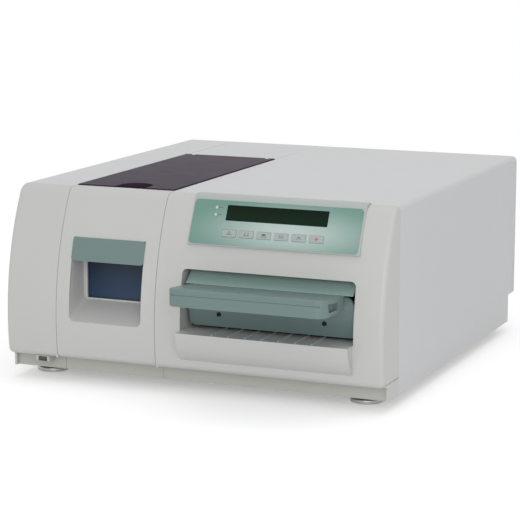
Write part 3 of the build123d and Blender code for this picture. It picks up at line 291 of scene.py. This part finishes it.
# The grain of mouldings, ink, brushed sheet and turned or machined metal is really under 0.3 mm
# wide, too fine for the render, so it is drawn as wide as it needs to show, 0.3 to 1.5 mm. An
# orange peel, the clouds of a plated sheet and the waves of a blown or cast wall keep their
# real width of 2 to 30 mm.

# ABS with a fine spark-eroded texture: matt, takes a soft edge light
ABS_CASE = Finish(
    "moulded_abs_light_grey", "#C5C5C3", roughness=0.42, grain_mm=0.9, relief_mm=0.03, drift=0.02,
)
BEZEL_ABS = Finish(
    "moulded_abs_mid_grey", "#AEB5B3", roughness=0.40, grain_mm=0.8, relief_mm=0.02, drift=0.02,
)
# powder-coated steel: an orange peel about 2 mm wide that breaks up the sheen
COVER_COAT = Finish(
    "powder_coated_steel_light", "#D0D1D2", Grain.COATED,
    roughness=0.50, grain_mm=2.2, relief_mm=0.03, drift=0.02, specular=0.3,
)
PAN_COAT = Finish(
    "powder_coated_steel_grey", "#B9BAB3", Grain.COATED,
    roughness=0.45, grain_mm=2.2, relief_mm=0.03, drift=0.03,
)
# polyamide with a satin skin: edges catch a broad, dim light
GREEN_PA = Finish(
    "moulded_polyamide_grey_green", "#6E8381",
    roughness=0.36, grain_mm=0.7, relief_mm=0.02, drift=0.04,
)
# a darker copy of the grey-green polyamide: painted shade of the groove along the grip bar
GROOVE_SHADE_PA = Finish(
    "moulded_polyamide_parting_line_painted_shade", "#52686A",
    roughness=0.45, grain_mm=0.7, relief_mm=0.01, drift=0.04,
)
# a lighter copy of the grey-green polyamide: painted light on the lid front, as if lit from above
LIT_LID_PA = Finish(
    "moulded_polyamide_green_painted_light", "#90A8A2",
    roughness=0.40, grain_mm=0.7, relief_mm=0.02, drift=0.04,
)
# cast sheet with a worn gloss: dark plum, only a faint sheen of the room, and painted light that
# makes it a shade lighter towards the back
SMOKED_PMMA = GradedFinish(
    "cast_acrylic_smoked_painted_light", "#423746", Grain.POLISHED,
    roughness=0.30, grain_mm=30.0, relief_mm=0.02, ior=1.49, specular=0.004,
    end_colour="#483D4D", start=tuple(at(-120, 70, 267)), end=tuple(at(-120, 420, 267)),
)
# blow-moulded polyethylene: a dull, slightly wavy wall, darker where the recess shades it
BLUE_HDPE = GradedFinish(
    "blow_moulded_polyethylene_blue", "#2C435E",
    roughness=0.38, grain_mm=3.0, relief_mm=0.05, specular=0.3,
    end_colour="#1D2A3C", start=tuple(at(-120, 50, 105)), end=tuple(at(-120, 50, 178)),
)
# film printed from behind: pale in the middle, greener to its corners, with a dull skin
FILM_PC = GradedFinish(
    "printed_polycarbonate_film", "#BCCBC8",
    roughness=0.38, grain_mm=0.5, relief_mm=0.01, specular=0.35,
    end_colour="#6F9589", start=tuple(at(132, 28, 226)), end=tuple(at(292, 78, 272)),
    round_field=True,
)
# cast sheet over a display that is off: near black, a shade lighter towards its foot
LCD_PMMA = GradedFinish(
    "cast_acrylic_display_green", "#14271A", Grain.POLISHED,
    roughness=0.25, grain_mm=20.0, relief_mm=0.01, specular=0.08,
    end_colour="#101D15", start=tuple(at(114, 34, 240)), end=tuple(at(114, 40, 256)),
)
# silicone: soft and without a sharp highlight
KEY_SILICONE = Finish(
    "moulded_silicone_key_grey", "#A6B0AD",
    roughness=0.5, grain_mm=0.5, relief_mm=0.01, drift=0.03,
)
SEAL = Finish(
    "moulded_silicone_seal", "#A5583F", roughness=0.5, grain_mm=0.6, relief_mm=0.01,
)
# screen ink: flat and dull
INK = Finish("screen_ink_dark", "#4A5652", roughness=0.5, grain_mm=0.3, relief_mm=0.005)
INK_RED = Finish("screen_ink_red", "#C4666C", roughness=0.5, grain_mm=0.3, relief_mm=0.005)
# plated sheet: blue-white, with a cloudy gloss
ZINC = Finish(
    "zinc_plated_steel", "#B4B7BA", Grain.COATED,
    roughness=0.30, grain_mm=6.0, relief_mm=0.01, drift=0.06, metallic=1.0,
)
# oil-blackened heads: dark, with a dim metal sheen
BLACKENED = Finish(
    "blackened_steel", "#2A2D2C", Grain.COATED,
    roughness=0.45, grain_mm=3.0, relief_mm=0.01, drift=0.06, metallic=1.0,
)
# painted shade: the chamber's sheet is coloured near black and dull, not metallic, for the shade
# inside the closed chamber
SHADED_CHAMBER_STEEL = Finish(
    "steel_sheet_painted_shade", "#303532", Grain.COATED,
    roughness=0.55, grain_mm=4.0, relief_mm=0.01, drift=0.08,
)
# belt-ground sheet: fine strokes that draw the highlights out
STAINLESS = Finish(
    "brushed_stainless_steel", "#C3C3C1", Grain.BRUSHED,
    roughness=0.26, grain_mm=0.35, relief_mm=0.01, drift=0.03, metallic=1.0,
)
# turned steel: bright satin
TURNED = Finish(
    "turned_steel_satin", "#B2B2AE", Grain.COATED,
    roughness=0.34, grain_mm=0.6, relief_mm=0.01, drift=0.05, metallic=1.0,
)
# glass-filled black polyamide: not quite even in shade
BLACK_PA = Finish(
    "moulded_polyamide_black", "#1B1B1C",
    roughness=0.42, grain_mm=0.7, relief_mm=0.02, drift=0.1,
)
# rubber: dull, no highlight
RUBBER = Finish(
    "moulded_rubber_black", "#202020", roughness=0.65, grain_mm=0.9, relief_mm=0.03, drift=0.1,
)
# undyed polyethylene: milky, light sinks in a little
TANK_PE = Finish(
    "rotomoulded_polyethylene_natural", "#DEDDD6",
    roughness=0.38, grain_mm=2.0, relief_mm=0.03, subsurface=0.2,
)
# machined brass: yellow, with a crisp highlight
BRASS = Finish(
    "machined_brass", "#C2A25A", Grain.COATED,
    roughness=0.25, grain_mm=1.5, relief_mm=0.01, drift=0.05, metallic=1.0,
)
# solder mask over laminate: glossy green with a thin clear coat
BOARD = Finish(
    "solder_mask_green", "#1D5532",
    roughness=0.3, grain_mm=1.2, relief_mm=0.02, drift=0.1, coat=0.3,
)
# polished acrylic, coloured dark as painted shade of its housing: a sharp highlight on a dark tube
VIAL = Finish(
    "moulded_acrylic_vial_painted_shade", "#3F4C48", Grain.POLISHED,
    roughness=0.12, grain_mm=8.0, relief_mm=0.005, coat=0.3,
)
# polished acrylic that spreads the light of a lamp behind it: milky, off
PIPE = Finish(
    "moulded_acrylic_light_pipe", "#C8CEC8", Grain.POLISHED,
    roughness=0.2, grain_mm=8.0, relief_mm=0.005, subsurface=0.2,
)

NODE_FINISHES: dict[Finish, tuple[str, ...]] = {
    ABS_CASE: ("front_fascia", "drawer_front"),
    COVER_COAT: ("case_cover", "rear_top_panel"),
    PAN_COAT: ("base_pan", "service_panel", "vial_housing"),
    GREEN_PA: ("drawer_pull", "cassette_handle", "filler_cap"),
    LIT_LID_PA: ("cassette_lid_front",),
    BEZEL_ABS: ("control_bezel",),
    SMOKED_PMMA: ("reservoir_lid",),
    BLUE_HDPE: ("waste_bottle",),
    FILM_PC: ("keypad_overlay",),
    LCD_PMMA: ("display_window",),
    KEY_SILICONE: ("key_1", "key_2", "key_3", "key_4", "key_5", "key_6"),
    ZINC: (
        "lid_hinge_pins", "drawer_runners", "water_pump", "filter_bracket", "power_supply",
        "service_screws",
    ),
    BLACKENED: ("handle_screws",),
    SHADED_CHAMBER_STEEL: ("cassette_chamber",),
    STAINLESS: ("cassette_tray", "cassette_lid", "instrument_rack", "steam_generator"),
    TURNED: ("front_left_foot", "front_right_foot"),
    SEAL: ("cassette_seal",),
    BLACK_PA: (
        "bottle_cap", "display_module", "power_inlet", "switch_frame", "power_rocker",
        "data_port", "fan_frame", "fan_rotor", "air_compressor",
    ),
    RUBBER: ("rear_feet",),
    TANK_PE: ("reservoir_tank", "filler_strainer", "drawer_carrier", "air_filter"),
    BRASS: ("probe_block", "exhaust_fitting", "exhaust_nut", "solenoid_valve"),
    BOARD: ("key_board", "controller_board"),
    VIAL: ("level_vial",),
    PIPE: ("status_lights",),
}

# a bar's middle, its width and height in millimetres, and its turn in degrees
Bar = tuple[tuple[float, float], tuple[float, float], float]

# the mark on each key, from left to right
KEY_DRAWINGS: tuple[tuple[Bar, ...], ...] = (
    (((0, -1.8), (8, 0.7), 0), ((0, 0.2), (5, 0.7), 0), ((0, 1.9), (2.4, 0.9), 0)),
    (((0, -1.8), (8, 0.7), 0), ((-2.4, 0.6), (0.7, 3.4), 0), ((2.4, 0.6), (0.7, 3.4), 0)),
    (((0, -1.8), (8, 0.7), 0), ((0, 0.8), (5.4, 2.2), 0)),
    (((-2.4, 0), (0.7, 4.4), 0), ((0, 0), (0.7, 4.4), 0), ((2.4, 0), (0.7, 4.4), 0)),
    (((-1.2, 0), (0.8, 4.6), -35), ((1.4, 0), (0.8, 4.6), 35)),
    (((0, 0), (3.6, 3.6), 45),),
)
RED_KEY = 6


def dress_frame() -> None:
    """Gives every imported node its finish, smooth rounds and crisp edges."""
    for finish, names in NODE_FINISHES.items():
        for name in names:
            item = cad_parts[name]
            item.data.materials.clear()
            item.data.materials.append(finish.build())
            item.data.polygons.foreach_set("use_smooth", [True] * len(item.data.polygons))
            weld = item.modifiers.new("weld", "WELD")
            weld.merge_threshold = WELD_M
            split = item.modifiers.new("split", "EDGE_SPLIT")
            split.split_angle = SPLIT_ANGLE
            log.info("dressed %s", name)


def finish_mesh(
    name: str, form: bmesh.types.BMesh, finish: Finish, body: str,
) -> None:
    """Turns a bmesh into a flat-faced piece that rides on a body.

    Args:
        name: The piece's name.
        form: The finished bmesh, in metres in the row frame; it is freed.
        finish: The piece's finish.
        body: The body that carries it.
    """
    bmesh.ops.remove_doubles(form, verts=form.verts, dist=WELD_M)
    bmesh.ops.recalc_face_normals(form, faces=form.faces)
    mesh = bpy.data.meshes.new(name)
    form.to_mesh(mesh)
    form.free()
    mesh.materials.append(finish.build())
    item = bpy.data.objects.new(name, mesh)
    bpy.context.scene.collection.objects.link(item)
    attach(item, body)
    log.info("built %s on %s", name, body)


def aim(
    item: bpy.types.Object, place: tuple[float, float, float], target: tuple[float, float, float],
) -> None:
    """Hangs a lamp or the camera and turns it to look at a target.

    Args:
        item: The lamp or camera.
        place: Where it hangs, in metres.
        target: The point that it looks at, in metres.
    """
    item.location = place
    item.rotation_euler = (Vector(target) - Vector(place)).to_track_quat("-Z", "Y").to_euler()
    bpy.context.scene.collection.objects.link(item)


@dataclass
class ControlPanel:
    """Printed marks on the tilted panel and its keys, with every size in millimetres."""

    # depth behind the front and height of the panel's lower edge
    foot: tuple[float, float] = (16.5, 204.8)
    tilt_deg: float = 25.4
    film_lift: float = 0.5
    key_lift: float = 1.1
    key_first_x: float = 50.8
    key_pitch: float = 24.6
    key_v: float = 17.7
    ink: float = 0.06
    light_x: float = 27.0
    light_v: tuple[float, float] = (42.3, 52.3)
    # each tick's middle, counted from the lights, and its width
    ticks_across: tuple[tuple[float, float], ...] = ((4.0, 3.0), (7.4, 2.2))
    tick_height: float = 0.8

    def matrix(self, x: float, v: float, lift: float) -> Matrix:
        """Place on the panel: local X right, local Y up the panel, local Z out of it.

        Args:
            x: X in millimetres.
            v: Distance up the panel from its lower edge.
            lift: Height off the bezel's face.

        Returns:
            The matrix from millimetres on the panel to metres in the row frame.
        """
        tilt = radians(self.tilt_deg)
        up = Vector((0, sin(tilt), cos(tilt)))
        out = Vector((0, -cos(tilt), sin(tilt)))
        place = Vector((x, FRONT_MM + self.foot[0], self.foot[1])) + up * v + out * lift
        basis = Matrix((Vector((1, 0, 0)), up, out)).transposed().to_4x4()
        return Matrix.Scale(MM, 4) @ Matrix.Translation(place) @ basis

    def bar(
        self, form: bmesh.types.BMesh, centre: tuple[float, float], size: tuple[float, float],
        turn_deg: float = 0.0,
    ) -> None:
        """Adds a printed bar to a mark drawn in millimetres.

        Args:
            form: The mark's bmesh.
            centre: Its middle on the mark.
            size: Its width and height.
            turn_deg: Its turn.
        """
        made = bmesh.ops.create_cube(form, size=1.0)
        turn = Matrix.Rotation(radians(turn_deg), 4, "Z")
        place = Matrix.Translation((*centre, 0)) @ turn @ Matrix.Diagonal((*size, self.ink, 1))
        bmesh.ops.transform(form, verts=made["verts"], matrix=place)

    def marks(self) -> None:
        """Generic programme marks on the keys."""
        lift = self.key_lift + self.ink / 2
        for index, drawing in enumerate(KEY_DRAWINGS):
            form = bmesh.new()
            for centre, size, turn in drawing:
                self.bar(form, centre, size, turn)
            place = self.matrix(self.key_first_x + index * self.key_pitch, self.key_v, lift)
            bmesh.ops.transform(form, verts=form.verts, matrix=place)
            number = index + 1
            finish = INK_RED if number == RED_KEY else INK
            finish_mesh(f"key_mark_{number}", form, finish, f"key_{number}")

    def ticks(self) -> None:
        """Two short printed ticks beside each status light."""
        form = bmesh.new()
        for v in self.light_v:
            for middle, width in self.ticks_across:
                self.bar(form, (middle, v), (width, self.tick_height))
        place = self.matrix(self.light_x, 0.0, self.film_lift + self.ink / 2)
        bmesh.ops.transform(form, verts=form.verts, matrix=place)
        finish_mesh("light_ticks", form, INK, "case")

    def build(self) -> None:
        """Builds every printed mark."""
        self.marks()
        self.ticks()


@dataclass
class HandleLine:
    """A dark line along the front of the cassette's grip bar, painted shade of the groove there,
    sizes in millimetres.
    """

    height: float = 152.3
    end_room: float = 15.0
    width: float = 0.9
    proud: float = 0.15
    depth: float = 0.6
    softness: float = 0.12

    def build(self) -> None:
        """Builds the line as a slim bead with softened edges, coloured darker as painted shade of
        the groove.
        """
        low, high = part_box("cassette_handle")
        length = (high[0] - low[0]) / MM - 2 * self.end_room
        middle = (low[0] + high[0]) / 2
        front = low[1] + (self.depth / 2 - self.proud) * MM
        form = bmesh.new()
        made = bmesh.ops.create_cube(form, size=1.0)
        size = Matrix.Diagonal((length * MM, self.depth * MM, self.width * MM, 1))
        place = Matrix.Translation((middle, front, self.height * MM))
        bmesh.ops.transform(form, verts=made["verts"], matrix=place @ size)
        bmesh.ops.bevel(
            form, geom=form.edges[:], offset=self.softness * MM, segments=2, profile=0.5,
            affect="EDGES", material=-1,
        )
        finish_mesh("handle_parting_line_painted_shade", form, GROOVE_SHADE_PA, "cassette")


@dataclass(frozen=True)
class Lamp:
    """A square soft lamp, its place and side length in metres and its power in watts."""

    name: str
    place: tuple[float, float, float]
    size: float
    power: float

    def build(self, target: tuple[float, float, float]) -> None:
        """Makes the lamp and hangs it.

        Args:
            target: The point that it looks at, in metres.
        """
        light = bpy.data.lights.new(self.name, "AREA")
        light.shape = "SQUARE"
        light.size = self.size
        light.energy = self.power
        aim(bpy.data.objects.new(self.name, light), self.place, target)


@dataclass
class Studio:
    """Floor, lamps, world and the photograph's camera, with every size in metres."""

    camera_at: tuple[float, float, float] = (1.1173, -2.6591, 0.6638)
    target: tuple[float, float, float] = (-0.02265, 0.0240, 0.1341)
    lens_mm: float = 140.75
    sensor_mm: float = 36.0
    clip_end: float = 50.0
    lamps: tuple[Lamp, ...] = (
        Lamp("lamp_top", (0.2, 0.2, 2.4), 2.6, 12.0),
        Lamp("lamp_front_right", (1.1, -2.8, 0.7), 2.2, 31.0),
    )
    lamp_target: tuple[float, float, float] = (0, 0, 0.12)
    world_level: float = 0.62
    floor_reach: float = 12.0
    floor_colour: str = "#F4F4F4"
    # light added to the floor near the object, so that only its shadow is grey
    floor_lift: float = 0.34
    # from the first distance to the second, the floor fades to plain white
    shadow_reach: tuple[float, float] = (0.7, 1.3)

    def seen_straight(self, tree: bpy.types.NodeTree) -> bpy.types.NodeSocket:
        """Tells looking at the stage from being lit by it.

        Args:
            tree: The node tree of the floor or the world.

        Returns:
            A socket that is one for a ray from the camera, a gloss or a clear piece, else zero.
        """
        path = add_node(tree, "ShaderNodeLightPath")
        either = add_node(tree, "ShaderNodeMath", {
            0: path.outputs["Is Camera Ray"], 1: path.outputs["Is Glossy Ray"],
        }, operation="ADD")
        return add_node(tree, "ShaderNodeMath", {
            0: either.outputs[0], 1: path.outputs["Is Transmission Ray"],
        }, operation="ADD", use_clamp=True).outputs[0]

    def paint_floor(self) -> bpy.types.Material:
        """Makes paper that keeps the shadow near the object and is plain white further off.

        Returns:
            The floor's material.
        """
        material = bpy.data.materials.new("floor_white_paper")
        tree = empty_tree(material)
        paper = add_node(tree, "ShaderNodeBsdfDiffuse", {"Color": linear(self.floor_colour)})
        near = add_node(tree, "ShaderNodeEmission", {"Color": WHITE, "Strength": self.floor_lift})
        lifted = add_node(tree, "ShaderNodeAddShader", {0: paper.outputs[0], 1: near.outputs[0]})
        white = add_node(tree, "ShaderNodeEmission", {"Color": WHITE, "Strength": 1.0})
        place = add_node(tree, "ShaderNodeTexCoord").outputs["Object"]
        away = add_node(tree, "ShaderNodeVectorMath", {0: place}, operation="LENGTH")
        fade = add_node(tree, "ShaderNodeMapRange", {
            "Value": away.outputs["Value"],
            "From Min": self.shadow_reach[0],
            "From Max": self.shadow_reach[1],
        }, interpolation_type="SMOOTHSTEP")
        seen = add_node(tree, "ShaderNodeMixShader", {
            0: fade.outputs["Result"], 1: lifted.outputs[0], 2: white.outputs[0],
        })
        mixed = add_node(tree, "ShaderNodeMixShader", {
            0: self.seen_straight(tree), 1: paper.outputs[0], 2: seen.outputs[0],
        })
        add_node(tree, "ShaderNodeOutputMaterial", {"Surface": mixed.outputs[0]})
        return material

    def floor(self) -> None:
        """A wide pale floor."""
        form = bmesh.new()
        bmesh.ops.create_grid(form, x_segments=1, y_segments=1, size=self.floor_reach)
        mesh = bpy.data.meshes.new("floor")
        form.to_mesh(mesh)
        form.free()
        mesh.materials.append(self.paint_floor())
        floor = bpy.data.objects.new("floor", mesh)
        bpy.context.scene.collection.objects.link(floor)

    def world(self) -> None:
        """An even pale surround, white to the camera."""
        world = bpy.data.worlds.new("surround")
        bpy.context.scene.world = world
        tree = empty_tree(world)
        seen = add_node(tree, "ShaderNodeBackground", {"Color": WHITE, "Strength": 1.0})
        lit = add_node(tree, "ShaderNodeBackground", {
            "Color": WHITE, "Strength": self.world_level,
        })
        mixed = add_node(tree, "ShaderNodeMixShader", {
            0: self.seen_straight(tree), 1: lit.outputs[0], 2: seen.outputs[0],
        })
        add_node(tree, "ShaderNodeOutputWorld", {"Surface": mixed.outputs[0]})

    def camera(self) -> None:
        """The camera at the photograph's angle."""
        data = bpy.data.cameras.new("camera")
        data.lens = self.lens_mm
        data.sensor_width = self.sensor_mm
        data.clip_end = self.clip_end
        item = bpy.data.objects.new("camera", data)
        aim(item, self.camera_at, self.target)
        bpy.context.scene.camera = item

    def build(self) -> None:
        """Sets up the whole studio."""
        self.floor()
        self.world()
        for lamp in self.lamps:
            lamp.build(self.lamp_target)
        self.camera()
        bpy.context.scene.view_settings.view_transform = "Standard"


def main() -> None:
    """Builds every sub-assembly and the studio, in order."""
    logging.basicConfig(level=logging.INFO, format="%(message)s")
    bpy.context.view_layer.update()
    dress_frame()
    for assembly in (ControlPanel(), HandleLine(), Studio()):
        assembly.build()


if __name__ == "__main__":
    main()
